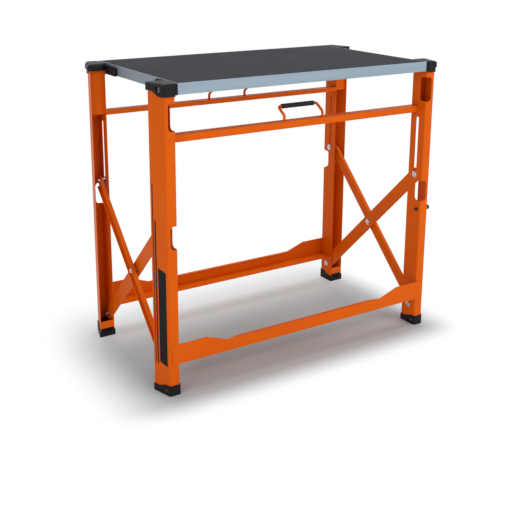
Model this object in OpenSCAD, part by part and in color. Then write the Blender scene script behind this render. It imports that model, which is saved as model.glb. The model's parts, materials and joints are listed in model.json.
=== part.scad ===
// Folding work bench: two channel-leg frames joined by a scissor brace at each end,
// with a matted work top that hinges on the front frame.
// +X is the right end, -Y the front, +Z up; the floor is z = 0. Sizes are in mm.

/* [Overall] */
// Width over the open edges of the legs
width = 960; // [800:5:1200]
// Depth over the webs of the front and rear legs
depth = 515; // [480:5:600]
// Height of the work surface above the floor
height = 870; // [840:5:950]

/* [Legs] */
// Width of the leg web
leg_web = 30; // [28:0.5:40]
// Depth of the leg flanges
leg_flange = 62; // [58:0.5:72]
// How far the outer flange leans out over its depth
leg_splay = 17; // [6:0.5:22]
// Thickness of the leg sheet
leg_sheet = 2; // [1.5:0.1:3]
// Outer radius of the sheet bends
leg_bend = 4; // [3.5:0.5:6]
// Height of the lower leg ends above the floor
leg_foot_gap = 5; // [3:0.5:8]
// Distance of the leg tops below the work surface
leg_top_gap = 4; // [3:0.5:6]
// Width of the cut-outs, taken from the web
notch_web = 21; // [14:0.5:24]
// Depth of the cut-outs, taken from the inner flange
notch_flange = 29; // [20:0.5:34]
// Corner radius of the cut-outs
notch_r = 11; // [3:0.5:13]
// Height of the upper cut-outs
notch_high_h = 75; // [50:1:90]
// Distance of the upper cut-outs below the work surface
notch_high_drop = 50; // [45:1:60]
// Height of the lower cut-outs
notch_low_h = 66; // [40:1:75]
// Sheet left between a lower cut-out and the slot above it
notch_low_land = 10; // [6:0.5:20]
// Height of the plates that close the open side at the leg tops
closer_h = 150; // [100:1:154]
// Distance of those plates from the open edges of the flanges
closer_inset = 8; // [2:0.5:8]
// Height of the tie plates above the feet
tie_h = 23; // [10:1:28]
// Height of the lower edge of the tie plates
tie_z = 27; // [22:1:32]

/* [Scissor brace] */
// Distance of the pivots and slots from the leg web
pin_inset = 33; // [30:0.5:38]
// Height of the lower pivots
pivot_z = 62; // [56:1:80]
// Distance of the slide bolts below the work surface with the bench open
slide_drop = 364; // [345:1:430]
// Gap left between the frames with the bench folded
fold_gap = 38; // [38:1:60]
// Width of the slots that guide the slide bolts
slot_w = 12; // [11:0.5:14]
// Width of the flat inner bars
inner_bar_w = 42; // [30:1:46]
// Thickness of the inner bars
inner_bar_t = 4; // [3:0.5:6]
// Width of the outer channel bars
outer_bar_w = 32; // [28:1:40]
// Thickness of the outer bars
outer_bar_t = 3; // [2:0.5:3.5]
// Height of the lips on the outer bars
outer_bar_lip = 11; // [8:0.5:13]
// Distance of the lip ends from the bar pivots
outer_bar_lip_in = 12; // [10:1:60]
// Space between the leg flange and the inner bar
layer_gap = 1.5; // [1:0.1:3]
// Space between the inner bar and the outer bar
bar_gap = 7.5; // [1:0.1:8]

/* [Bolts] */
// Shank diameter of the brace and hinge bolts
bolt_d = 8; // [6:0.5:9]
// Head diameter
head_d = 16; // [13:0.5:18]
// Head height
head_h = 4.2; // [3:0.1:5]
// Washer diameter
washer_d = 20; // [17:0.5:20]
// Washer thickness
washer_t = 1.2; // [0.8:0.1:1.6]
// Nut width across flats
nut_w = 13; // [11:0.5:16]
// Nut height
nut_h = 6; // [4:0.5:7]
// Running clearance of a bolt in its bore, on the radius
fit = 0.05; // [0.02:0.01:0.1]
// Clearance between parts that slide or turn past each other
gap = 0.3; // [0.2:0.05:0.6]

/* [Top rails] */
// Height of the outer side of the top rails
rail_h = 20; // [15:1:30]
// Height of the inner side of the top rails
rail_back = 14; // [5:0.5:15]
// Distance of the rail top below the work surface
rail_drop = 142; // [130:1:142]
// Sheet thickness of the top rails
rail_wall = 1.5; // [1:0.1:3]
// Space between a top rail and the work top hung in front of it
hang_clear = 1; // [0.5:0.1:3]

/* [Bottom rails] */
// Height of the lower edge of the bottom rails
low_rail_z = 92; // [85:1:130]
// Height of the bottom rail at mid span
low_rail_h = 35; // [25:1:60]
// Height of the gusset ends
gusset_h = 59; // [45:1:100]
// Length of the full-height gusset beside the leg
gusset_len = 86; // [40:1:140]
// Length of the sloping edge of the gusset
gusset_slope = 67; // [30:1:120]
// How far the gusset laps over the leg web
gusset_lap = 22; // [10:0.5:24]
// Depth of the lower flange of the bottom rail
low_rail_flange = 54; // [25:1:56]
// Depth of the upper return of the bottom rail
low_rail_return = 9; // [5:0.5:20]
// Length of the tapered ends of that return
return_taper = 40; // [10:1:80]
// Radius of the bends in the gusset outline
gusset_r = 12; // [4:1:16]
// Corner radius of the gusset ends
gusset_end_r = 2; // [1:0.5:6]

/* [Handles] */
// Diameter of the handle rod
rod_d = 8; // [6:0.5:10]
// Distance between the two feet of the handle rod
handle_w = 134; // [110:1:200]
// Distance of the handle feet from the leg web plane
handle_inset = 41; // [40:0.5:44]
// Height of the upright part of the rod
handle_stem = 16; // [10:0.5:24]
// How far the handle leans in
handle_lean = 32; // [10:0.5:32]
// Rise of the leaning part
handle_rise = 21; // [15:0.5:30]
// Bend radius of the rod
rod_bend = 8; // [7:0.5:13]
// Outer diameter of the grip
grip_d = 14; // [11:0.5:15]
// Distance of the grip ends from the bends of the rod
grip_gap = 2; // [1:0.5:12]

/* [Work top] */
// Height of the aluminium edge
edge_h = 30; // [26:0.5:32]
// Wall of the aluminium edge
edge_wall = 2.5; // [1.5:0.1:4]
// Depth of the lip under the board
edge_lip = 12; // [8:0.5:20]
// Thickness of the lip under the board
edge_lip_t = 2; // [1.5:0.1:3]
// Space between the work top and the inner face of the legs
side_gap = 7.5; // [7:0.1:12]
// How far the work top stands out past the leg webs
top_over = 2; // [1:0.1:3]
// Thickness of the mat
mat_t = 3.5; // [2:0.1:6]
// Depth of the mat surface below the edge
mat_sink = 0.4; // [0.2:0.1:1]
// Length of the rest plates
plate_len = 136; // [90:1:138]
// Length of the hinge plates
hinge_plate_len = 132; // [115:1:170]
// Length of the sloping end of the hinge plates
hinge_plate_slope = 22; // [15:1:70]
// Radius of the bends in that sloping end
hinge_plate_r = 14; // [4:0.5:16]
// How far the plates reach below the work top
plate_drop = 1.5; // [1:0.1:5]
// Distance of the hinge plate tops below the work surface
plate_sink = 1; // [0.5:0.1:2]
// Distance of the rest plate tops below the work surface
rest_sink = 5; // [0.5:0.1:6]
// Radius of the upper free corner of the rest plates
rest_plate_r = 8; // [2:0.5:10]
// Radius of the other corners of the plates
plate_r = 4; // [1:0.5:6]
// Clearance of the plates from the legs
plate_clear = 1; // [0.4:0.1:1.5]
// Distance of the hinge axis from the leg web plane
hinge_inset = 16; // [14:0.5:17]
// Diameter of the rest studs
stud_d = 10; // [8:0.5:12]
// Distance of the rest studs from the web plane of the rear legs
stud_inset = 45; // [30:0.5:50]

/* [Corner caps] */
// Wall of the caps in front of the web
cap_wall = 3; // [2:0.1:4]
// How far the cap heads stand out past the outer flange
cap_side = 7.5; // [5:0.1:9]
// How far the skirts stand out past the outer flange
cap_skirt = 3.4; // [2:0.1:4.5]
// Height of the cap heads
cap_head = 20.5; // [18:0.5:22]
// Radius of the upper edge of the cap heads on the outer side
cap_round = 12; // [3:0.5:13]
// Radius of the upper edge of the cap heads at their free ends
cap_end_round = 8; // [3:0.5:8]
// Radius of the lower edge of the cap heads
cap_low_round = 4; // [1:0.5:5]
// Radius of the upper edge of the cap heads at the web
cap_web_round = 2; // [1:0.5:3]
// How far the caps reach past the open side of the leg
cap_past = 11; // [5:0.5:12]
// Depth of the cap skirt at the web
cap_drop = 34; // [32:0.5:40]
// Corner radius of the caps
cap_r = 6; // [3:0.5:8]
// Radius of the outer corner at the free end of the caps
cap_end_r = 14; // [6:0.5:15]

/* [Feet] */
// Wall of the feet
foot_wall = 2.7; // [2:0.1:4]
// Clearance of the feet on the legs
foot_fit = 0.15; // [0.05:0.05:0.3]
// Height of the feet at the web
foot_h = 30; // [24:0.5:34]
// Height of the feet at the open side
foot_low = 19; // [15:0.5:21]
// Height of the floor inside the feet
foot_floor = 12; // [9:0.5:14]
// Space between the plugs of the feet and the ends of the inner bars
foot_plug_gap = 3; // [1:0.5:8]
// Clearance of the plugs in the legs
foot_plug_fit = 0.3; // [0.2:0.05:0.6]
// Depth of the arch in the open side
foot_arch = 6; // [2:0.5:7]
// Diameter of the hole in the side walls
foot_hole = 8.5; // [5:0.5:10]

/* [Lock plunger] */
// Distance of the hole in the rest plate from the hinge axis
lock_reach = 460; // [430:1:460]
// Diameter of the lock pin
lock_d = 10; // [6:0.5:10]
// Diameter of the housing
lock_body_d = 17; // [16:0.5:18]
// Wall of the housing
lock_wall = 2; // [1.5:0.1:2.2]
// Thickness of the collar on the pin
lock_collar_t = 2.5; // [1.5:0.1:3]
// Stroke of the pin
lock_stroke = 7; // [6:0.1:7]
// Diameter of the knob
knob_d = 15; // [14:0.5:24]
// Length of the knob
knob_len = 11.8; // [8:0.1:12]

/* [Hidden] */
$fn = 48;
eps = 0.01;
arc_n = 5;
rod_tuck = 0.3;
inner_x = width / 2 - leg_splay - leg_web;
leg_top = height - leg_top_gap;
splay_k = norm([leg_splay, leg_flange]) / leg_flange;

// Scissor geometry: lower pivots at -pin_y and pin_y, bars crossing at mid length.
slide_z = height - slide_drop;
pin_y = depth / 2 - pin_inset;
bar_rise = slide_z - pivot_z;
bar_len = norm([2 * pin_y, bar_rise]);
bar_angle = atan2(bar_rise, 2 * pin_y);
folded_span = 2 * (leg_flange - pin_inset) + fold_gap;
slide_travel = sqrt(bar_len * bar_len - folded_span * folded_span) - bar_rise;
layer_inner = leg_sheet + layer_gap;
layer_outer = layer_inner + inner_bar_t + bar_gap;
bush_d = slot_w - 2 * gap;
bore_d = bolt_d + 2 * fit;

hinge_z = height - edge_h / 2;
rail_inset = hinge_inset + edge_h / 2 + hang_clear;
rail_z = height - rail_drop - rail_h;
lock_z = hinge_z - lock_reach;
grip_len = handle_w - 2 * rod_bend - 2 * grip_gap;
foot_plug = pivot_z - inner_bar_w / 2 - foot_plug_gap;
lock_tip = leg_sheet / 4 - lock_stroke;
lock_mouth = leg_web + leg_splay * (hinge_inset + lock_body_d / 2) / leg_flange + gap;
lock_collar = lock_mouth / 2 - lock_stroke;
knob_u = lock_mouth + gap;

panel_x = inner_x - side_gap;
panel_y = depth / 2 + top_over;
plate_t = side_gap - plate_clear;
core_z = height - edge_h + edge_lip_t;
core_h = edge_h - edge_lip_t - mat_t - mat_sink;
plate_z = height - edge_h - plate_drop;
stud_z = plate_z - gap - stud_d / 2;

paint = [0.86, 0.33, 0.05];
zinc = [0.72, 0.74, 0.77];
alloy = [0.62, 0.67, 0.73];
black = [0.12, 0.12, 0.13];
rubber = [0.2, 0.2, 0.21];
board = [0.62, 0.5, 0.34];

// Arc of radius r that rounds the corner b between a and c.
function unit(v) = v / norm(v);
function fillet(a, b, c, r) =
  let (p = unit(a - b), q = unit(c - b), half = acos(p * q) / 2)
  let (m = b + unit(p + q) * r / sin(half))
  let (s = b + p * r / tan(half) - m, e = b + q * r / tan(half) - m)
  let (a0 = atan2(s.y, s.x), turn = (atan2(e.y, e.x) - a0 + 540) % 360 - 180)
  [for (i = [0 : arc_n]) m + r * [cos(a0 + turn * i / arc_n), sin(a0 + turn * i / arc_n)]];

// Outline through the points pts, each corner rounded by the radius in rs.
function rounded(pts, rs) =
  let (n = len(pts))
  [for (i = [0 : n - 1])
    each rs[i] > 0 ? fillet(pts[(i + n - 1) % n], pts[i], pts[(i + 1) % n], rs[i]) : [pts[i]]];

// Smooth step from 0 to 1 while v goes from a to b.
function ease(v, a, b) = (1 - cos(180 * min(1, max(0, (v - a) / (b - a))))) / 2;

// Distance from the inner flange to the outer flange at depth v, moved out by d.
function splay_u(v, d = 0) = leg_web + leg_splay * v / leg_flange + d * splay_k;

// Closed outline round a leg: front wall at -f, outer side moved out by s, open side at v1.
function leg_outline(f, s, v1, u0) =
  [[u0, -f], [splay_u(-f, s), -f], [splay_u(v1, s), v1], [u0, v1]];

// Leg coordinates: x from the inner flange outward, y from the web inward.
module side(s) {
  mirror([s < 0 ? 1 : 0, 0, 0])
    children();
}

module end(e) {
  mirror([0, e > 0 ? 1 : 0, 0])
    children();
}

module at_leg(s, e) {
  side(s)
    end(e)
      translate([inner_x, -depth / 2, 0])
        children();
}

module both_legs(e) {
  for (s = [-1, 1])
    at_leg(s, e)
      children();
}

// Bar coordinates: y along the bar from its lower pivot at the front (-1) or rear (1).
module at_bar(s, e) {
  side(s)
    end(e)
      translate([inner_x, -pin_y, pivot_z])
        rotate([bar_angle, 0, 0])
          children();
}

module both_bars(e) {
  for (s = [-1, 1])
    at_bar(s, e)
      children();
}

module x_cyl(x0, x1, d) {
  translate([x0, 0, 0])
    rotate([0, 90, 0])
      cylinder(d = d, h = x1 - x0);
}

module x_tube(x0, x1, d, bore) {
  difference() {
    x_cyl(x0, x1, d);
    x_cyl(x0 - 1, x1 + 1, bore);
  }
}

// Prism along x of an outline given as [y, z] points.
module x_prism(x0, x1, pts) {
  translate([x0, 0, 0])
    rotate([90, 0, 90])
      linear_extrude(x1 - x0)
        polygon(pts);
}

// Button-head bolt along +x: head below x0, shank from x0 to x1, washer under the head.
module bolt(x0, x1) {
  difference() {
    union() {
      translate([x0, 0, 0])
        rotate([0, -90, 0])
          rotate_extrude()
            polygon([[0, -washer_t], [washer_d / 2, -washer_t], [washer_d / 2, 0],
              [head_d / 2, 0], [head_d / 2, head_h * 0.45], [head_d * 0.44, head_h * 0.75],
              [head_d * 0.3, head_h], [0, head_h]]);
      x_cyl(x0, x1, bolt_d);
    }
    translate([x0 - head_h - 1, 0, 0])
      rotate([0, 90, 0])
        cylinder(d = bolt_d * 0.72, h = head_h * 0.6 + 1, $fn = 6);
  }
}

module nut(x0) {
  translate([x0, 0, 0])
    rotate([0, 90, 0])
      difference() {
        cylinder(d = nut_w / cos(30), h = nut_h, $fn = 6);
        translate([0, 0, -1])
          cylinder(d = bore_d, h = nut_h + 2);
      }
}

// Channel leg with cut-outs, guide slot and bores; lock adds the plunger holes.
module leg(e, lock) {
  t = leg_sheet;
  f = leg_flange;
  section = rounded(
    [[0, f], [0, 0], [leg_web, 0], [splay_u(f), f],
      [splay_u(f, -t), f], [splay_u(t, -t), t], [t, t], [t, f]],
    [0, leg_bend, leg_bend, 0, 0, leg_bend - t, leg_bend - t, 0]);
  difference() {
    translate([0, 0, leg_foot_gap])
      linear_extrude(leg_top - leg_foot_gap)
        polygon(section);
    notch(height - notch_high_drop - notch_high_h, notch_high_h);
    notch(slide_z - slot_w / 2 - notch_low_land - notch_low_h, notch_low_h);
    translate([0, pin_inset, slide_z])
      slide_slot();
    translate([0, pin_inset, pivot_z])
      x_cyl(-1, t + 1, bore_d);
    translate([0, hinge_inset, hinge_z])
      x_cyl(e < 0 ? -1 : t + 1, leg_web + leg_splay + 1, bore_d);
    if (e > 0)
      translate([0, stud_inset, stud_z])
        x_cyl(-1, t + 1, stud_d * 0.8 + 2 * fit);
    if (lock)
      translate([0, hinge_inset, lock_z])
        lock_bores();
  }
}

module notch(z0, h) {
  t = leg_sheet;
  rotate([90, 0, 0])
    translate([0, 0, -leg_bend - 1])
      linear_extrude(leg_bend + 2)
        polygon(rounded([[-1, z0], [notch_web, z0], [notch_web, z0 + h], [-1, z0 + h]],
          [0, notch_r, notch_r, 0]));
  x_prism(-1, leg_bend + 1, rounded(
    [[-1, z0], [notch_flange, z0], [notch_flange, z0 + h], [-1, z0 + h]],
    [0, notch_r, notch_r, 0]));
}

module slide_slot() {
  run = slide_travel + 1;
  x_cyl(-1, leg_sheet + 1, slot_w);
  translate([0, 0, run])
    x_cyl(-1, leg_sheet + 1, slot_w);
  translate([-1, -slot_w / 2, 0])
    cube([leg_sheet + 2, slot_w, run]);
}

module lock_bores() {
  x_cyl(-1, leg_sheet + 1, lock_d + 2 * gap);
  x_cyl(leg_web / 2, leg_web + leg_splay + 1, lock_body_d + 2 * fit);
}

module leg_front_left() {
  color(paint)
    at_leg(-1, -1)
      leg(-1, false);
}

module leg_front_right() {
  color(paint)
    at_leg(1, -1)
      leg(-1, true);
}

module leg_rear_left() {
  color(paint)
    at_leg(-1, 1)
      leg(1, false);
}

module leg_rear_right() {
  color(paint)
    at_leg(1, 1)
      leg(1, false);
}

// Plate between the flanges on the open side of a leg.
module open_side_plate(z0, h, inset) {
  t = leg_sheet;
  v = leg_flange - inset;
  translate([0, 0, z0])
    linear_extrude(h)
      polygon([[t, v - t], [splay_u(v - t, -t), v - t], [splay_u(v, -t), v], [t, v]]);
}

module closers_front() {
  color(paint)
    both_legs(-1)
      open_side_plate(leg_top - closer_h, closer_h, closer_inset);
}

module closers_rear() {
  color(paint)
    both_legs(1)
      open_side_plate(leg_top - closer_h, closer_h, closer_inset);
}

module ties_front() {
  color(paint)
    both_legs(-1)
      open_side_plate(tie_z, tie_h, 0);
}

module ties_rear() {
  color(paint)
    both_legs(1)
      open_side_plate(tie_z, tie_h, 0);
}

// Plug of a foot inside the channel, up to just below the ends of the bars.
module foot_core() {
  p = leg_sheet + foot_plug_fit;
  v1 = leg_flange - leg_sheet - foot_plug_fit;
  r = leg_bend - leg_sheet;
  translate([0, 0, foot_floor - 1])
    linear_extrude(foot_plug - foot_floor + 1)
      polygon(rounded([[p, v1], [p, p], [splay_u(p, -p), p], [splay_u(v1, -p), v1]], [0, r, r, 0]));
}

// Moulded foot: a shell round the leg end with a plug inside the channel.
module foot() {
  foot_core();
  c = foot_fit;
  t = leg_sheet + c;
  v1 = leg_flange + c;
  w = foot_wall;
  r = leg_bend + w;
  fall = [for (i = [0 : 12]) let (v = leg_flange * (0.15 + 0.65 * i / 12))
    [v, foot_h - (foot_h - foot_low) * ease(i, 0, 12)]];
  mid_u = splay_u(v1) / 2;
  arch_r = mid_u * mid_u / (4 * foot_arch);
  difference() {
    linear_extrude(foot_h)
      polygon(rounded(leg_outline(w, w, v1 + w, -w), [r, r, w, w]));
    translate([0, 0, leg_foot_gap])
      linear_extrude(foot_h)
        polygon(rounded(
          [[-c, v1], [-c, -c], [splay_u(-c, c), -c], [splay_u(v1, c), v1],
            [splay_u(v1, -t), v1], [splay_u(t, -t), t], [t, t], [t, v1]],
          [0, leg_bend + c, leg_bend + c, 0, 0, leg_bend - t, leg_bend - t, 0]));
    translate([0, 0, foot_floor])
      linear_extrude(foot_h)
        polygon(leg_outline(-t + eps, -t + eps, v1, t - eps));
    x_prism(-w - 1, leg_web + 2 * leg_splay + w, concat(fall,
      [[v1 + w + 1, foot_low], [v1 + w + 1, foot_h + 1], [fall[0].x, foot_h + 1]]));
    translate([mid_u, v1 + w + 1, foot_low - foot_arch + arch_r])
      rotate([90, 0, 0])
        cylinder(r = arch_r, h = w + 1 + eps);
    translate([0, leg_flange * 0.24, leg_foot_gap + foot_hole])
      x_cyl(-w - 1, 0, foot_hole);
    translate([0, leg_flange * 0.24, leg_foot_gap + foot_hole])
      x_cyl(leg_web, leg_web + leg_splay + w, foot_hole);
  }
}

module foot_front_left() {
  color(black)
    at_leg(-1, -1)
      foot();
}

module foot_front_right() {
  color(black)
    at_leg(1, -1)
      foot();
}

module foot_rear_left() {
  color(black)
    at_leg(-1, 1)
      foot();
}

module foot_rear_right() {
  color(black)
    at_leg(1, 1)
      foot();
}

// Plan of a cap whose outer side stands s past the outer flange.
module cap_plan(s, z0, h) {
  v1 = leg_flange + cap_past;
  translate([0, 0, z0])
    linear_extrude(h)
      polygon(rounded(
        [[0, -cap_wall], [splay_u(-cap_wall, s), -cap_wall], [splay_u(v1, s), v1],
          [leg_web * 0.4, v1], [0, leg_flange + cap_wall]],
        [0, cap_r, cap_end_r, cap_r, 0]));
}

// Head of a cap: its upper edges rounded at the web, the open side and the outer side.
module cap_head_block() {
  v0 = -cap_wall;
  v1 = leg_flange + cap_past;
  z0 = height - cap_head;
  run = 2 * leg_flange;
  intersection() {
    cap_plan(cap_side, z0, cap_head);
    x_prism(-1, run, rounded(
      [[v0, z0 - 1], [v1, z0 - 1], [v1, height], [v0, height]],
      [0, cap_low_round, cap_end_round, cap_web_round]));
    translate([leg_web, 0, 0])
      rotate([0, 0, -atan2(leg_splay, leg_flange)])
        translate([0, run, 0])
          rotate([90, 0, 0])
            linear_extrude(2 * run)
              polygon(rounded(
                [[-run, z0 - 1], [cap_side, z0 - 1], [cap_side, height], [-run, height]],
                [0, cap_low_round, cap_round, 0]));
  }
}

// Moulded corner cap: head over the leg top, skirt round the web and the outer flange.
module cap() {
  v1 = leg_flange + cap_past;
  v2 = leg_flange + gap;
  z0 = height - cap_drop;
  s0 = leg_flange * 0.24;
  s1 = leg_flange * 0.8;
  rise = [for (i = [0 : 12]) let (v = s0 + (s1 - s0) * i / 12)
    [v, z0 + (cap_drop - cap_head) * ease(i, 0, 12)]];
  difference() {
    union() {
      cap_head_block();
      cap_plan(cap_skirt, z0, cap_drop - cap_head + 1);
    }
    translate([0, 0, z0 - 1])
      linear_extrude(leg_top - z0 + 1)
        polygon([[-1, -gap], [splay_u(-gap, gap), -gap], [splay_u(v2, gap), v2],
          [splay_u(v1) - cap_end_r, v1 - cap_wall], [leg_web * 0.4 + cap_wall, v1 - cap_wall], [-1, v2]]);
    x_prism(-1, width / 8, concat(rise,
      [[v1 + 1, height - cap_head], [v1 + 1, z0 - 1], [s0, z0 - 1]]));
    translate([0, hinge_inset, hinge_z])
      x_cyl(leg_web / 2, leg_web + 2 * leg_splay + cap_side, head_d + 2 * gap);
  }
}

module cap_front_left() {
  color(black)
    at_leg(-1, -1)
      cap();
}

module cap_front_right() {
  color(black)
    at_leg(1, -1)
      cap();
}

module cap_rear_left() {
  color(black)
    at_leg(-1, 1)
      cap();
}

module cap_rear_right() {
  color(black)
    at_leg(1, 1)
      cap();
}

// Folded rail between the inner flanges, open below, flush with the open side of the legs.
module top_rail(e) {
  d = leg_flange - rail_inset;
  h = rail_h;
  w = rail_wall;
  end(e)
    translate([0, -depth / 2 + rail_inset, rail_z])
      x_prism(-inner_x, inner_x,
        [[0, 0], [w, 0], [w, h - w], [d - w, h - w], [d - w, h - rail_back], [d, h - rail_back],
          [d, h], [0, h]]);
}

module top_rail_front() {
  color(paint)
    top_rail(-1);
}

module top_rail_rear() {
  color(paint)
    top_rail(1);
}

// Folded rail on the outer face of the webs, with gusset ends and two inward flanges.
module bottom_rail(e) {
  t = leg_sheet;
  z0 = low_rail_z;
  zm = z0 + low_rail_h;
  zg = z0 + gusset_h;
  x0 = inner_x + gusset_lap;
  x1 = inner_x - gusset_len;
  x2 = x1 - gusset_slope;
  x3 = x2 - return_taper;
  g = gusset_r;
  c = gusset_end_r;
  end(e) {
    translate([0, -depth / 2, 0])
      rotate([90, 0, 0])
        linear_extrude(t)
          polygon(rounded(
            [[-x0, z0], [x0, z0], [x0, zg], [x1, zg], [x2, zm], [-x2, zm], [-x1, zg], [-x0, zg]],
            [c, c, c, g, g, g, g, c]));
    translate([-inner_x, -depth / 2 - eps, z0])
      cube([2 * inner_x, low_rail_flange + eps, t]);
    translate([0, -depth / 2, zm - t])
      linear_extrude(t)
        polygon([[-x2, -eps], [x2, -eps], [x3, low_rail_return], [-x3, low_rail_return]]);
  }
}

module bottom_rail_front() {
  color(paint)
    bottom_rail(-1);
}

module bottom_rail_rear() {
  color(paint)
    bottom_rail(1);
}

// Handle frame: origin at the lower bend of the left stem, z along the leaning part.
module at_handle(e) {
  end(e)
    translate([-handle_w / 2, -depth / 2 + handle_inset, height - rail_drop + handle_stem])
      rotate([-atan2(handle_lean, handle_rise), 0, 0])
        children();
}

// Bends are a hair thicker than the rod, so that each straight ends inside them.
module rod_elbow(angle) {
  rotate_extrude(angle = angle)
    translate([rod_bend, 0])
      circle(d = rod_d + 0.04);
}

module half_handle() {
  a = atan2(handle_lean, handle_rise);
  run = norm([handle_lean, handle_rise]);
  tuck = rod_bend * tan(a / 2);
  rotate([a, 0, 0]) {
    translate([0, 0, -handle_stem])
      cylinder(d = rod_d, h = handle_stem - tuck + rod_tuck);
    translate([0, rod_bend, -tuck])
      rotate([90, 0, 90])
        rotate([0, 0, 180 - a])
          rod_elbow(a);
  }
  translate([0, 0, tuck - rod_tuck])
    cylinder(d = rod_d, h = run - rod_bend - tuck + 2 * rod_tuck);
  translate([rod_bend, 0, run - rod_bend])
    rotate([90, 0, 0])
      rotate([0, 0, 90])
        rod_elbow(90);
}

module handle(e) {
  at_handle(e) {
    half_handle();
    translate([handle_w, 0, 0])
      mirror([1, 0, 0])
        half_handle();
    translate([0, 0, norm([handle_lean, handle_rise])])
      x_cyl(rod_bend - rod_tuck, handle_w - rod_bend + rod_tuck, rod_d);
  }
}

module handle_front() {
  color(paint)
    handle(-1);
}

module handle_rear() {
  color(paint)
    handle(1);
}

module grip(e) {
  r = grip_d / 2;
  b = rod_d / 2 + fit;
  at_handle(e)
    translate([handle_w / 2, 0, norm([handle_lean, handle_rise])])
      rotate([0, 90, 0])
        rotate_extrude()
          polygon([[b, -grip_len / 2], [r - 1.5, -grip_len / 2], [r - 0.4, -grip_len / 2 + 0.6],
            [r, -grip_len / 2 + 2], [r, grip_len / 2 - 2], [r - 0.4, grip_len / 2 - 0.6],
            [r - 1.5, grip_len / 2], [b, grip_len / 2]]);
}

module grip_front() {
  color(black)
    grip(-1);
}

module grip_rear() {
  color(black)
    grip(1);
}

// Bores of a bar: lower pivot, crossing and slide bolt.
module bar_bores() {
  for (y = [0, bar_len / 2, bar_len])
    translate([0, y, 0])
      x_cyl(0, leg_web, bore_d);
}

module round_bar(x0, t, w) {
  translate([x0, 0, -w / 2])
    cube([t, bar_len, w]);
  for (y = [0, bar_len])
    translate([0, y, 0])
      x_cyl(x0, x0 + t, w);
}

module outer_bar(s) {
  at_bar(s, -1)
    difference() {
      union() {
        round_bar(layer_outer, outer_bar_t, outer_bar_w);
        for (z = [-outer_bar_w / 2, outer_bar_w / 2 - outer_bar_t])
          translate([layer_outer, outer_bar_lip_in, z])
            cube([outer_bar_lip, bar_len - 2 * outer_bar_lip_in, outer_bar_t]);
      }
      bar_bores();
    }
}

module inner_bar(s) {
  at_bar(s, 1)
    difference() {
      round_bar(layer_inner, inner_bar_t, inner_bar_w);
      bar_bores();
    }
}

module outer_bar_left() {
  color(paint)
    outer_bar(-1);
}

module outer_bar_right() {
  color(paint)
    outer_bar(1);
}

module inner_bar_left() {
  color(paint)
    inner_bar(-1);
}

module inner_bar_right() {
  color(paint)
    inner_bar(1);
}

// Lower pivots: the bolts are fast in the legs and the bars turn on them.
module pivot_bolts_front() {
  color(zinc)
    both_bars(-1)
      bolt(-washer_t, layer_outer + outer_bar_t + gap + nut_h + 1);
}

module pivot_spacers_front() {
  color(zinc)
    both_bars(-1)
      x_tube(leg_sheet, layer_outer - gap, head_d, bore_d);
}

module pivot_nuts_front() {
  color(zinc)
    both_bars(-1)
      nut(layer_outer + outer_bar_t + gap);
}

module pivot_bolts_rear() {
  color(zinc)
    both_bars(1)
      bolt(-washer_t, layer_inner + inner_bar_t + gap + nut_h + 1);
}

module pivot_spacers_rear() {
  color(zinc)
    both_bars(1)
      x_tube(leg_sheet, layer_inner - gap, head_d, bore_d);
}

module pivot_nuts_rear() {
  color(zinc)
    both_bars(1)
      nut(layer_inner + inner_bar_t + gap);
}

// Slide bolts: fast in the bars, each with a bush that runs in the slot of a leg.
module slide_bolts_front() {
  color(zinc)
    both_bars(1)
      translate([0, bar_len, 0])
        bolt(-gap - washer_t, layer_inner + inner_bar_t + nut_h + 1);
}

module slide_bushes_front() {
  color(zinc)
    both_bars(1)
      translate([0, bar_len, 0])
        x_tube(-gap, layer_inner, bush_d, bore_d);
}

module slide_nuts_front() {
  color(zinc)
    both_bars(1)
      translate([0, bar_len, 0])
        nut(layer_inner + inner_bar_t);
}

module slide_bolts_rear() {
  color(zinc)
    both_bars(-1)
      translate([0, bar_len, 0])
        bolt(-gap - washer_t, layer_outer + outer_bar_t + nut_h + 1);
}

module slide_bushes_rear() {
  color(zinc)
    both_bars(-1)
      translate([0, bar_len, 0])
        x_tube(-gap, layer_outer, bush_d, bore_d);
}

module slide_nuts_rear() {
  color(zinc)
    both_bars(-1)
      translate([0, bar_len, 0])
        nut(layer_outer + outer_bar_t);
}

// Crossings: the bolts are fast in the outer bars and the inner bars turn on them.
module cross_bolts() {
  color(zinc)
    both_bars(-1)
      translate([0, bar_len / 2, 0])
        bolt(layer_inner - gap - washer_t, layer_outer + outer_bar_t + nut_h + 1);
}

module cross_washers() {
  color(zinc)
    both_bars(-1)
      translate([0, bar_len / 2, 0])
        x_tube(layer_inner + inner_bar_t + gap, layer_outer, head_d, bore_d);
}

module cross_nuts() {
  color(zinc)
    both_bars(-1)
      translate([0, bar_len / 2, 0])
        nut(layer_outer + outer_bar_t);
}

// Hinge bolts: through both flanges of a front leg into the hinge plate and the edge.
module cap_bolt(x1) {
  seat = splay_u(hinge_inset + washer_d * 0.36);
  translate([0, hinge_inset, hinge_z]) {
    x_cyl(x1, seat + eps, bolt_d);
    difference() {
      translate([seat, 0, 0])
        rotate([0, 90, 0])
          rotate_extrude()
            polygon([[0, 0], [head_d / 2, 0], [head_d / 2, head_h * 0.45],
              [head_d * 0.44, head_h * 0.75], [head_d * 0.3, head_h], [0, head_h]]);
      translate([seat + head_h * 0.4, 0, 0])
        rotate([0, 90, 0])
          cylinder(d = bolt_d * 0.72, h = head_h, $fn = 6);
    }
  }
}

module cap_tube() {
  translate([0, hinge_inset, hinge_z])
    x_tube(leg_sheet, splay_u(hinge_inset - bolt_d * 0.8, -leg_sheet), bolt_d * 1.6, bore_d);
}

module hinge_bolts() {
  color(zinc)
    both_legs(-1)
      cap_bolt(-side_gap - edge_wall - bolt_d);
}

module hinge_spacers() {
  color(zinc)
    both_legs(-1)
      cap_tube();
}

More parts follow.
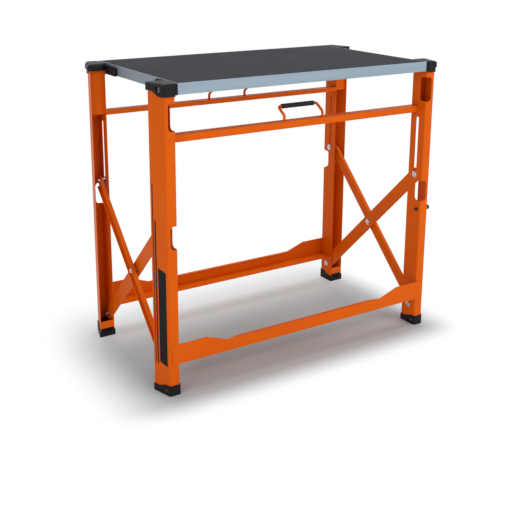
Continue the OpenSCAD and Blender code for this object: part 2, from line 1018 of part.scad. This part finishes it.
module cap_screws() {
  color(zinc)
    both_legs(1)
      cap_bolt(2 * leg_sheet);
}

module cap_spacers() {
  color(zinc)
    both_legs(1)
      cap_tube();
}

// Rest studs on the rear legs, just under the rest plates.
module rest_studs() {
  color(zinc)
    both_legs(1)
      translate([0, stud_inset, stud_z]) {
        x_cyl(-side_gap + plate_clear, 0, stud_d);
        x_cyl(-eps, leg_sheet + eps, stud_d * 0.8);
        x_cyl(leg_sheet, leg_sheet + 3, stud_d * 1.3);
      }
}

// Clearance bores round the hinge bolts, cut from the core and the edges.
module hinge_bores(d) {
  both_legs(-1)
    translate([0, hinge_inset, hinge_z])
      x_cyl(-side_gap - edge_wall - bolt_d - 1, 0, d);
}

module board_core() {
  color(board)
    difference() {
      translate([-panel_x + edge_wall, -panel_y + edge_wall, core_z])
        cube([2 * (panel_x - edge_wall), 2 * (panel_y - edge_wall), core_h]);
      hinge_bores(bolt_d + 2);
    }
}

module mat() {
  x = panel_x - edge_wall;
  y = panel_y - edge_wall;
  color(rubber)
    translate([-x, -y, core_z + core_h])
      cube([2 * x, 2 * y, mat_t]);
}

module long_edge(e) {
  end(e) {
    translate([-panel_x, -panel_y, height - edge_h])
      cube([2 * panel_x, edge_wall, edge_h]);
    translate([-panel_x + edge_wall, -panel_y + edge_wall - eps, height - edge_h])
      cube([2 * (panel_x - edge_wall), edge_lip + eps, edge_lip_t]);
  }
}

module short_edge(s) {
  y0 = panel_y - edge_wall;
  y1 = y0 - edge_lip;
  difference() {
    side(s) {
      translate([panel_x - edge_wall, -y0, height - edge_h])
        cube([edge_wall, 2 * y0, edge_h]);
      translate([panel_x - edge_wall - edge_lip, -y1, height - edge_h])
        cube([edge_lip + eps, 2 * y1, edge_lip_t]);
    }
    hinge_bores(bore_d);
  }
}

module edge_front() {
  color(alloy)
    long_edge(-1);
}

module edge_rear() {
  color(alloy)
    long_edge(1);
}

module edge_left() {
  color(alloy)
    short_edge(-1);
}

module edge_right() {
  color(alloy)
    short_edge(1);
}

// Plate of outline pts on the end faces of the work top, bored at hole_y from the web plane.
module end_plate(e, pts, rs, hole_y, d) {
  both_legs(e)
    difference() {
      translate([0, 0, plate_z])
        x_prism(-side_gap, -plate_clear, rounded(pts, rs));
      translate([0, hole_y, hinge_z])
        x_cyl(-side_gap - 1, 0, d);
    }
}

module hinge_plates() {
  z1 = plate_drop + edge_h - plate_sink;
  l = hinge_plate_len;
  color(black)
    end_plate(-1,
      [[-top_over, 0], [l, 0], [l, z1 / 2], [l - hinge_plate_slope, z1], [-top_over, z1]],
      [plate_r, plate_r, hinge_plate_r, hinge_plate_r, 0], hinge_inset, bore_d);
}

module rest_plates() {
  z1 = plate_drop + edge_h - rest_sink;
  color(black)
    end_plate(1,
      [[-top_over, 0], [plate_len, 0], [plate_len, z1], [-top_over, z1]],
      [plate_r, plate_r, rest_plate_r, 0], depth - hinge_inset - lock_reach, lock_d + 2 * gap);
}

// Lock plunger in the front right leg; its hole in the rest plate meets it with the top hung.
module at_lock() {
  at_leg(1, -1)
    translate([0, hinge_inset, lock_z])
      children();
}

module lock_housing() {
  color(zinc)
    at_lock()
      difference() {
        x_cyl(leg_sheet, lock_mouth, lock_body_d);
        x_cyl(0, lock_mouth + 1, lock_d + 2 * fit);
        x_cyl(leg_sheet + lock_wall, lock_mouth - lock_wall, lock_body_d - 2 * lock_wall);
      }
}

module lock_spring() {
  color(zinc)
    at_lock()
      x_tube(lock_mouth / 2 + lock_collar_t + gap, lock_mouth - lock_wall,
        lock_body_d - 2 * lock_wall - 2 * fit, lock_d + 2 * gap);
}

module lock_pin() {
  color(zinc)
    at_lock() {
      x_cyl(lock_tip, knob_u + knob_len / 2, lock_d);
      x_cyl(lock_collar, lock_collar + lock_collar_t, lock_body_d - 2 * lock_wall - 2 * gap);
    }
}

module lock_knob() {
  r = knob_d / 2;
  b = lock_d / 2 + fit;
  n = knob_len;
  color(black)
    at_lock()
      translate([knob_u, 0, 0])
        rotate([0, 90, 0])
          rotate_extrude()
            polygon([[b, 0], [r * 0.85, 0], [r * 0.87, n * 0.2], [r, n * 0.35], [r, n * 0.8],
              [r * 0.88, n * 0.95], [r * 0.7, n], [0, n], [0, n / 2 + fit], [b, n / 2 + fit]]);
}

leg_front_left();
leg_front_right();
leg_rear_left();
leg_rear_right();
closers_front();
closers_rear();
ties_front();
ties_rear();
foot_front_left();
foot_front_right();
foot_rear_left();
foot_rear_right();
cap_front_left();
cap_front_right();
cap_rear_left();
cap_rear_right();
top_rail_front();
top_rail_rear();
bottom_rail_front();
bottom_rail_rear();
handle_front();
handle_rear();
grip_front();
grip_rear();
outer_bar_left();
outer_bar_right();
inner_bar_left();
inner_bar_right();
pivot_bolts_front();
pivot_spacers_front();
pivot_nuts_front();
pivot_bolts_rear();
pivot_spacers_rear();
pivot_nuts_rear();
slide_bolts_front();
slide_bushes_front();
slide_nuts_front();
slide_bolts_rear();
slide_bushes_rear();
slide_nuts_rear();
cross_bolts();
cross_washers();
cross_nuts();
hinge_bolts();
hinge_spacers();
cap_screws();
cap_spacers();
rest_studs();
board_core();
edge_front();
edge_rear();
edge_left();
edge_right();
mat();
hinge_plates();
rest_plates();
lock_housing();
lock_spring();
lock_pin();
lock_knob();
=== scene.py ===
"""Looks of the folding work bench: materials, small surface pieces, camera and studio light."""
import json
import math

import bmesh
import bpy
from mathutils import Matrix, Vector


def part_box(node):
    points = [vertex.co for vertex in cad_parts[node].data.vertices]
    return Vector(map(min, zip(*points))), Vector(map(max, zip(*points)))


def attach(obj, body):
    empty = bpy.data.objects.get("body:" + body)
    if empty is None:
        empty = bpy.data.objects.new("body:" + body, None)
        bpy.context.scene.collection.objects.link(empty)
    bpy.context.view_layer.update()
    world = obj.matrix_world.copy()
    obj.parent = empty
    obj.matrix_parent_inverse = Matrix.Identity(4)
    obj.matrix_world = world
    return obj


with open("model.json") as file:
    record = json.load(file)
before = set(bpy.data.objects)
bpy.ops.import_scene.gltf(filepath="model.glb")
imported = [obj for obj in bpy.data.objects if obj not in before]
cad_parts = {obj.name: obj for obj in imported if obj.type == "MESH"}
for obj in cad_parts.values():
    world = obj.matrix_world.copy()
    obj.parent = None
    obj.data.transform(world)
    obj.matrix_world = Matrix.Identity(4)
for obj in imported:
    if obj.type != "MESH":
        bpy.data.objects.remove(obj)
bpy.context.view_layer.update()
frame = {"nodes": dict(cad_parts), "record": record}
nodes = frame["nodes"]


# Sizes in metres
LEG_WEB = 0.030
MAT_PITCH = 0.0115
FILM_OFFSET = 0.0001
FILM_THICK = 0.0001
STRIPE_BASE = 0.085
STRIPE_SLANT = 0.008

# Stripes on the leg: where each starts and ends across the flange, as shares, and its top
STRIPES = ((0.14, 0.62, 0.36), (0.70, 0.78, 0.50), (0.85, 0.90, 0.60))

# Rounded edges: starts of node names, width, segments and the least angle that is rounded
ROUNDED = (
    (("cap_front", "cap_rear"), 0.0008, 2, 40),
    (("foot",), 0.0008, 2, 30),
    (("top_rail",), 0.0012, 3, 60),
    (("edge",), 0.0005, 2, 60),
)
WELD_GAP = 0.00001
FLAT_ANGLE = 0.5

# Most values of a noise texture lie in this span
MIDDLE = (0.3, 0.7)

# Floor: colours that light the bench and that show, the darker shown one a painted shade round the
# bench, and where it starts to run out to white and is white, on both sides of each axis
FLOOR_SIZE = 80
FLOOR_BOUNCE = (0.94, 0.94, 0.94)
FLOOR_SEEN_SHADE = (0.494, 0.527, 0.538)
FLOOR_SHADE_RUN_OUT = {"X": ((-0.45, -0.69), (0.44, 0.59)), "Y": ((-0.27, -0.40), (0.02, 0.52))}

# Strength of the world as a light; where it shows it is plain white
WORLD_LIGHT = 0.40
WHITE = (1.0, 1.0, 1.0, 1.0)

# Square lamps: name, place, width and watts; the overhead light's spread and tilt are in degrees
LAMPS = (("key", (1.6, -3.8, 2.7), 4.0, 92), ("fill", (-5.6, -3.0, 2.7), 2.0, 70))
LAMP_TARGET = (0, 0, 0.45)
OVERHEAD_POWER = 1.4
OVERHEAD_SPREAD = 36
OVERHEAD_TILT = (-8, 9, 0)

# Camera fitted to the photo: pixels, then the sensor in mm, degrees and metres
PHOTO_SIZE = 512
FOCAL_PIXELS = 870.03
AXIS_ROW = 167.87
SENSOR_WIDTH = 36
VIEW_YAW = 32.4605
VIEW_PITCH = 14.3621
VIEW_ROLL = 0.3185
CAMERA_PLACE = (-1.4337, -2.21676, 1.21106)
CAMERA_FAR = 200


# Scene and node helpers

def add_object(name, data):
    """Put a mesh, a lamp or a camera into the scene."""
    obj = bpy.data.objects.new(name, data)
    bpy.context.scene.collection.objects.link(obj)
    return obj


def new_material(name):
    mat = bpy.data.materials.new(name)
    mat.use_nodes = True
    tree = mat.node_tree
    tree.nodes.clear()
    out = tree.nodes.new("ShaderNodeOutputMaterial")
    bsdf = tree.nodes.new("ShaderNodeBsdfPrincipled")
    tree.links.new(bsdf.outputs["BSDF"], out.inputs["Surface"])
    return mat, tree, bsdf


def coords(tree, scale=(1, 1, 1)):
    """Object coordinates, stretched along the axes whose scale is under 1."""
    tex = tree.nodes.new("ShaderNodeTexCoord")
    mapping = tree.nodes.new("ShaderNodeMapping")
    mapping.inputs["Scale"].default_value = scale
    tree.links.new(tex.outputs["Object"], mapping.inputs["Vector"])
    return mapping.outputs["Vector"]


def split_axes(tree, vector):
    node = tree.nodes.new("ShaderNodeSeparateXYZ")
    tree.links.new(vector, node.inputs["Vector"])
    return node.outputs


def noise(tree, vector, scale, detail, roughness=0.5):
    node = tree.nodes.new("ShaderNodeTexNoise")
    node.inputs["Scale"].default_value = scale
    node.inputs["Detail"].default_value = detail
    node.inputs["Roughness"].default_value = roughness
    tree.links.new(vector, node.inputs["Vector"])
    return node.outputs["Fac"]


def remap(tree, value, span, to=(0, 1), curve="LINEAR"):
    """Carry a value from one span to another, clamped at its ends."""
    node = tree.nodes.new("ShaderNodeMapRange")
    node.interpolation_type = curve
    node.inputs["From Min"].default_value, node.inputs["From Max"].default_value = span
    node.inputs["To Min"].default_value, node.inputs["To Max"].default_value = to
    tree.links.new(value, node.inputs["Value"])
    return node.outputs["Result"]


def mix(tree, fac, a, b):
    """Mix two colours, each a tuple or the output of a node."""
    node = tree.nodes.new("ShaderNodeMix")
    node.data_type = "RGBA"
    tree.links.new(fac, node.inputs["Factor"])
    for socket, value in ((node.inputs[6], a), (node.inputs[7], b)):
        if isinstance(value, tuple):
            socket.default_value = (*value, 1)
        else:
            tree.links.new(value, socket)
    return node.outputs[2]


def math_node(tree, op, a, b):
    """One sum on two values, each a number or the output of a node."""
    node = tree.nodes.new("ShaderNodeMath")
    node.operation = op
    for socket, value in ((node.inputs[0], a), (node.inputs[1], b)):
        if isinstance(value, (int, float)):
            socket.default_value = value
        else:
            tree.links.new(value, socket)
    return node.outputs[0]


def seen_rays(tree):
    """1 for the rays that show a surface, straight or in metal and glass, 0 for those that light."""
    path = tree.nodes.new("ShaderNodeLightPath")
    seen = math_node(tree, "MAXIMUM", path.outputs["Is Camera Ray"], path.outputs["Is Glossy Ray"])
    return math_node(tree, "MAXIMUM", seen, path.outputs["Is Transmission Ray"])


def dress(tree, bsdf, colour, rough, specular=0.5, metallic=0.0):
    """Link colour and roughness to the shader and set how it shines."""
    tree.links.new(colour, bsdf.inputs["Base Color"])
    tree.links.new(rough, bsdf.inputs["Roughness"])
    bsdf.inputs["Specular IOR Level"].default_value = specular
    bsdf.inputs["Metallic"].default_value = metallic


def bump(tree, bsdf, height, distance, strength):
    node = tree.nodes.new("ShaderNodeBump")
    node.inputs["Distance"].default_value = distance
    node.inputs["Strength"].default_value = strength
    tree.links.new(height, node.inputs["Height"])
    tree.links.new(node.outputs["Normal"], bsdf.inputs["Normal"])


# Materials

def painted_sheet():
    """Powder-coated steel: even orange with faint clouding, orange peel and settled dust."""
    mat, tree, bsdf = new_material("orange_powder_coat")
    v = coords(tree)
    broad = noise(tree, v, scale=4.0, detail=4.0)
    speck = noise(tree, v, scale=260.0, detail=2.0)
    peel = noise(tree, v, scale=900.0, detail=2.0, roughness=0.4)
    deep = (0.66, 0.100, 0.0016)
    pale = (0.70, 0.110, 0.0020)
    dusty = (0.56, 0.10, 0.008)
    colour = mix(tree, remap(tree, broad, (0.35, 0.65)), deep, pale)
    colour = mix(tree, remap(tree, speck, (0.66, 0.80), (0, 0.16)), colour, dusty)
    gloss = remap(tree, broad, MIDDLE, (0.34, 0.42))
    rough = math_node(tree, "ADD", gloss, remap(tree, speck, (0.5, 0.8), (0, 0.1)))
    dress(tree, bsdf, colour, rough, specular=0.06)
    bump(tree, bsdf, peel, distance=0.0003, strength=0.18)
    return mat


def moulded_plastic():
    """Black moulding with a fine grain and a few pale scuffs."""
    mat, tree, bsdf = new_material("black_moulded_plastic")
    v = coords(tree)
    broad = noise(tree, v, scale=12.0, detail=4.0)
    grain = noise(tree, v, scale=1400.0, detail=2.0)
    scuff = noise(tree, coords(tree, (1, 1, 0.25)), scale=130.0, detail=4.0)
    dark = (0.008, 0.0084, 0.0105)
    pale = (0.012, 0.0124, 0.015)
    scuffed = (0.035, 0.035, 0.036)
    colour = mix(tree, remap(tree, broad, MIDDLE), dark, pale)
    colour = mix(tree, remap(tree, scuff, (0.64, 0.85), (0, 0.3)), colour, scuffed)
    dress(tree, bsdf, colour, remap(tree, grain, MIDDLE, (0.42, 0.56)), specular=0.12)
    bump(tree, bsdf, grain, distance=0.0002, strength=0.35)
    return mat


def soft_grip():
    """Black rubber sleeve of the handles."""
    mat, tree, bsdf = new_material("black_soft_grip")
    v = coords(tree)
    grain = noise(tree, v, scale=700.0, detail=3.0)
    broad = noise(tree, v, scale=30.0, detail=3.0)
    dark = (0.007, 0.007, 0.008)
    pale = (0.014, 0.014, 0.016)
    colour = mix(tree, broad, dark, pale)
    dress(tree, bsdf, colour, remap(tree, grain, MIDDLE, (0.5, 0.66)), specular=0.25)
    bump(tree, bsdf, grain, distance=0.0002, strength=0.3)
    return mat


def pip_pattern(tree, v, pitch):
    """Rows of small round pips: the product of the upper halves of two waves."""
    axes = split_axes(tree, v)
    waves = []
    for axis in ("X", "Y"):
        turn = math_node(tree, "MULTIPLY", axes[axis], 2 * math.pi / pitch)
        wave = math_node(tree, "SINE", turn, 0.0)
        waves.append(math_node(tree, "MAXIMUM", wave, 0.0))
    return math_node(tree, "MULTIPLY", waves[0], waves[1])


def pipped_mat():
    """Dark grey rubber with paler pips, clouded in broad patches and flecked."""
    mat, tree, bsdf = new_material("pipped_rubber_mat")
    v = coords(tree)
    pips = pip_pattern(tree, v, MAT_PITCH)
    broad = noise(tree, v, scale=5.0, detail=4.0)
    fine = noise(tree, v, scale=900.0, detail=2.0)
    dark = (0.022, 0.023, 0.027)
    pale = (0.030, 0.031, 0.036)
    pip = (0.112, 0.114, 0.123)
    fleck = (0.08, 0.08, 0.085)
    colour = mix(tree, remap(tree, broad, MIDDLE), dark, pale)
    colour = mix(tree, remap(tree, pips, (0.0, 0.5)), colour, pip)
    colour = mix(tree, remap(tree, fine, (0.6, 0.8), (0, 0.3)), colour, fleck)
    dress(tree, bsdf, colour, remap(tree, broad, MIDDLE, (0.62, 0.74)), specular=0.03)
    bump(tree, bsdf, pips, distance=0.0010, strength=0.5)
    return mat


def satin_alloy(name, stretch, tone):
    """Drawn aluminium profile with streaks along its length; tone is its mean colour."""
    mat, tree, bsdf = new_material(name)
    streak = noise(tree, coords(tree, stretch), scale=60.0, detail=5.0, roughness=0.6)
    broad = noise(tree, coords(tree), scale=6.0, detail=3.0)
    dark, pale, worn = (tuple(k * c for c in tone) for k in (0.93, 1.07, 0.85))
    colour = mix(tree, remap(tree, streak, MIDDLE), dark, pale)
    colour = mix(tree, remap(tree, broad, (0.55, 0.75), (0, 0.25)), colour, worn)
    rough = remap(tree, streak, MIDDLE, (0.40, 0.52))
    dress(tree, bsdf, colour, rough, specular=0.2, metallic=0.75)
    bump(tree, bsdf, streak, distance=0.0002, strength=0.12)
    return mat


def zinc_plate(name, dark, pale):
    """Zinc plating, clouded between the two tones."""
    mat, tree, bsdf = new_material(name)
    v = coords(tree)
    cloud = noise(tree, v, scale=90.0, detail=4.0)
    fine = noise(tree, v, scale=800.0, detail=2.0)
    colour = mix(tree, remap(tree, cloud, MIDDLE), dark, pale)
    dress(tree, bsdf, colour, remap(tree, cloud, MIDDLE, (0.22, 0.36)), metallic=0.95)
    bump(tree, bsdf, fine, distance=0.0001, strength=0.15)
    return mat


def blackened_steel():
    """Oiled black oxide on the lock pin."""
    mat, tree, bsdf = new_material("blackened_steel")
    v = coords(tree)
    cloud = noise(tree, v, scale=120.0, detail=4.0)
    fine = noise(tree, v, scale=900.0, detail=2.0)
    dark = (0.012, 0.012, 0.014)
    pale = (0.026, 0.026, 0.029)
    colour = mix(tree, remap(tree, cloud, MIDDLE), dark, pale)
    dress(tree, bsdf, colour, remap(tree, cloud, MIDDLE, (0.35, 0.5)), metallic=0.4)
    bump(tree, bsdf, fine, distance=0.0001, strength=0.15)
    return mat


def printed_film():
    """Black film of the plain stripes on the leg: matt ink with fine mottling."""
    mat, tree, bsdf = new_material("black_printed_film")
    v = coords(tree)
    mottle = noise(tree, v, scale=60.0, detail=4.0)
    fine = noise(tree, v, scale=1200.0, detail=2.0)
    dark = (0.006, 0.006, 0.006)
    pale = (0.011, 0.0105, 0.0105)
    colour = mix(tree, mottle, dark, pale)
    dress(tree, bsdf, colour, remap(tree, mottle, MIDDLE, (0.45, 0.6)), specular=0.08)
    bump(tree, bsdf, fine, distance=0.0001, strength=0.2)
    return mat


def pressed_board():
    """Chipboard under the work top: pressed chips with dark flecks."""
    mat, tree, bsdf = new_material("pressed_board")
    v = coords(tree)
    chip = tree.nodes.new("ShaderNodeTexVoronoi")
    chip.inputs["Scale"].default_value = 160.0
    tree.links.new(v, chip.inputs["Vector"])
    fleck = noise(tree, v, scale=220.0, detail=4.0)
    dark = (0.34, 0.23, 0.12)
    pale = (0.50, 0.37, 0.22)
    flecked = (0.24, 0.15, 0.08)
    colour = mix(tree, chip.outputs["Distance"], dark, pale)
    colour = mix(tree, remap(tree, fleck, (0.55, 0.75), (0, 0.5)), colour, flecked)
    dress(tree, bsdf, colour, remap(tree, fleck, MIDDLE, (0.6, 0.8)))
    bump(tree, bsdf, fleck, distance=0.0004, strength=0.3)
    return mat


looks = {
    "orange_paint": painted_sheet(),
    "black_plastic": moulded_plastic(),
    "grip_rubber": soft_grip(),
    "mat_rubber": pipped_mat(),
    "board": pressed_board(),
    "alloy_edge": satin_alloy("satin_alloy_long", (0.04, 1, 1), (0.262, 0.330, 0.390)),
    "zinc_steel": zinc_plate("bright_zinc", (0.52, 0.55, 0.60), (0.66, 0.69, 0.74)),
    "black_oxide": blackened_steel(),
}
dull_zinc = zinc_plate("dull_zinc", (0.10, 0.10, 0.11), (0.17, 0.17, 0.18))
# The short sides' alloy is a darker copy of the long sides' alloy: painted shade
shaded_alloy_side = satin_alloy("satin_alloy_short_shaded", (1, 0.04, 1), (0.228, 0.272, 0.316))

# Nodes that look unlike the rest of their slot; the short alloy sides' darker tone is painted shade
own_looks = {
    "edge_left": shaded_alloy_side,
    "edge_right": shaded_alloy_side,
    "hinge_bolts": dull_zinc,
    "cap_screws": dull_zinc,
}

slots = {s["node"]: s["material_slot"] for s in frame["record"]["subparts"]}
for name, obj in nodes.items():
    obj.data.materials.clear()
    obj.data.materials.append(own_looks.get(name, looks[slots[name]]))


# Rounded edges on the solid CAD pieces

def soften(obj, width, segments, angle):
    """Join the faces that lie flat, then round the edges that are sharper than the angle."""
    weld = obj.modifiers.new("weld", "WELD")
    weld.merge_threshold = WELD_GAP
    flat = obj.modifiers.new("flat", "DECIMATE")
    flat.decimate_type = "DISSOLVE"
    flat.angle_limit = math.radians(FLAT_ANGLE)
    bevel = obj.modifiers.new("bevel", "BEVEL")
    bevel.width = width
    bevel.segments = segments
    bevel.limit_method = "ANGLE"
    bevel.angle_limit = math.radians(angle)
    bevel.harden_normals = True


for starts, width, segments, angle in ROUNDED:
    for name, obj in nodes.items():
        if name.startswith(starts):
            soften(obj, width, segments, angle)


# Plain stripes on the outer flange of the front left leg

def film_stripes():
    """One mesh of thin upright stripes with slanted ends, laid on the outer flange."""
    low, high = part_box("leg_front_left")
    near = Vector((high[0] - LEG_WEB, low[1], 0))
    far = Vector((low[0], high[1], 0))
    along = (far - near).normalized()
    out = along.cross(Vector((0, 0, -1)))
    span = (far - near).length
    broad = STRIPES[0][1] - STRIPES[0][0]
    bm = bmesh.new()
    for start, end, top in STRIPES:
        slant = STRIPE_SLANT * (end - start) / broad
        outline = ((start, STRIPE_BASE), (end, STRIPE_BASE + slant), (end, top + slant), (start, top))
        layers = []
        for lift in (FILM_OFFSET, FILM_OFFSET + FILM_THICK):
            places = (near + along * span * share + out * lift + Vector((0, 0, z)) for share, z in outline)
            layers.append([bm.verts.new(place) for place in places])
        under, over = layers
        bm.faces.new(under[::-1])
        bm.faces.new(over)
        for i in range(len(outline)):
            bm.faces.new((under[i - 1], under[i], over[i], over[i - 1]))
    bmesh.ops.recalc_face_normals(bm, faces=bm.faces)
    mesh = bpy.data.meshes.new("leg_stripes")
    bm.to_mesh(mesh)
    bm.free()
    mesh.materials.append(printed_film())
    return add_object("leg_stripes", mesh)


stripes = film_stripes()
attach(stripes, "front_frame")


# Floor, light and camera

def pale_floor():
    """Matt floor that keeps the shadow near the bench, deepened there by a painted shade in the colour it
    shows, and runs out to plain white.
    """
    mat, tree, bsdf = new_material("pale_floor")
    seen = seen_rays(tree)
    # Shown darker than it lights: a painted shade round the bench, which runs out to white below
    tree.links.new(mix(tree, seen, FLOOR_BOUNCE, FLOOR_SEEN_SHADE), bsdf.inputs["Base Color"])
    bsdf.inputs["Roughness"].default_value = 0.9
    bsdf.inputs["Specular IOR Level"].default_value = 0.1
    # Where the painted shade runs out to white on each side
    axes = split_axes(tree, coords(tree))
    beyond = tree.nodes.new("ShaderNodeCombineXYZ")
    for axis, sides in FLOOR_SHADE_RUN_OUT.items():
        low, high = (remap(tree, axes[axis], side) for side in sides)
        tree.links.new(math_node(tree, "MAXIMUM", low, high), beyond.inputs[axis])
    reach = tree.nodes.new("ShaderNodeVectorMath")
    reach.operation = "LENGTH"
    tree.links.new(beyond.outputs["Vector"], reach.inputs[0])
    away = remap(tree, reach.outputs["Value"], (0, 1), curve="SMOOTHSTEP")
    white = tree.nodes.new("ShaderNodeEmission")
    both = tree.nodes.new("ShaderNodeMixShader")
    tree.links.new(math_node(tree, "MULTIPLY", seen, away), both.inputs["Fac"])
    tree.links.new(bsdf.outputs["BSDF"], both.inputs[1])
    tree.links.new(white.outputs["Emission"], both.inputs[2])
    tree.links.new(both.outputs["Shader"], tree.nodes["Material Output"].inputs["Surface"])
    return mat


def studio_world():
    """Even light from all round, which shows as plain white."""
    world = bpy.data.worlds.new("studio")
    world.use_nodes = True
    tree = world.node_tree
    sky = tree.nodes["Background"]
    sky.inputs["Color"].default_value = WHITE
    strength = remap(tree, seen_rays(tree), (0, 1), (WORLD_LIGHT, 1))
    tree.links.new(strength, sky.inputs["Strength"])
    return world


def square_lamp(name, place, size, power):
    light = bpy.data.lights.new(name, "AREA")
    light.shape = "SQUARE"
    light.size = size
    light.energy = power
    obj = add_object(name, light)
    obj.location = place
    obj.rotation_euler = (Vector(LAMP_TARGET) - Vector(place)).to_track_quat("-Z", "Y").to_euler()


def overhead_light():
    light = bpy.data.lights.new("overhead", "SUN")
    light.energy = OVERHEAD_POWER
    light.angle = math.radians(OVERHEAD_SPREAD)
    obj = add_object("overhead", light)
    obj.rotation_euler = [math.radians(x) for x in OVERHEAD_TILT]


def photo_camera():
    """The photo's camera: turned to the right, tipped down and rolled a little."""
    data = bpy.data.cameras.new("camera")
    data.sensor_width = SENSOR_WIDTH
    data.lens = FOCAL_PIXELS / PHOTO_SIZE * SENSOR_WIDTH
    data.shift_y = -(PHOTO_SIZE / 2 - AXIS_ROW) / PHOTO_SIZE
    data.clip_end = CAMERA_FAR
    yaw, pitch, roll = (math.radians(x) for x in (VIEW_YAW, VIEW_PITCH, VIEW_ROLL))
    level = math.cos(pitch)
    forward = Vector((math.sin(yaw) * level, math.cos(yaw) * level, -math.sin(pitch)))
    aim = forward.to_track_quat("-Z", "Y").to_matrix()
    cam = add_object("camera", data)
    cam.rotation_euler = (aim @ Matrix.Rotation(roll, 3, "Z")).to_euler()
    cam.location = CAMERA_PLACE
    return cam


bpy.ops.mesh.primitive_plane_add(size=FLOOR_SIZE, location=(0, 0, 0))
floor = bpy.context.object
floor.name = "studio_floor"
floor.data.materials.append(pale_floor())

scene = bpy.context.scene
scene.world = studio_world()
for lamp in LAMPS:
    square_lamp(*lamp)
overhead_light()
scene.camera = photo_camera()
scene.view_settings.view_transform = "Standard"
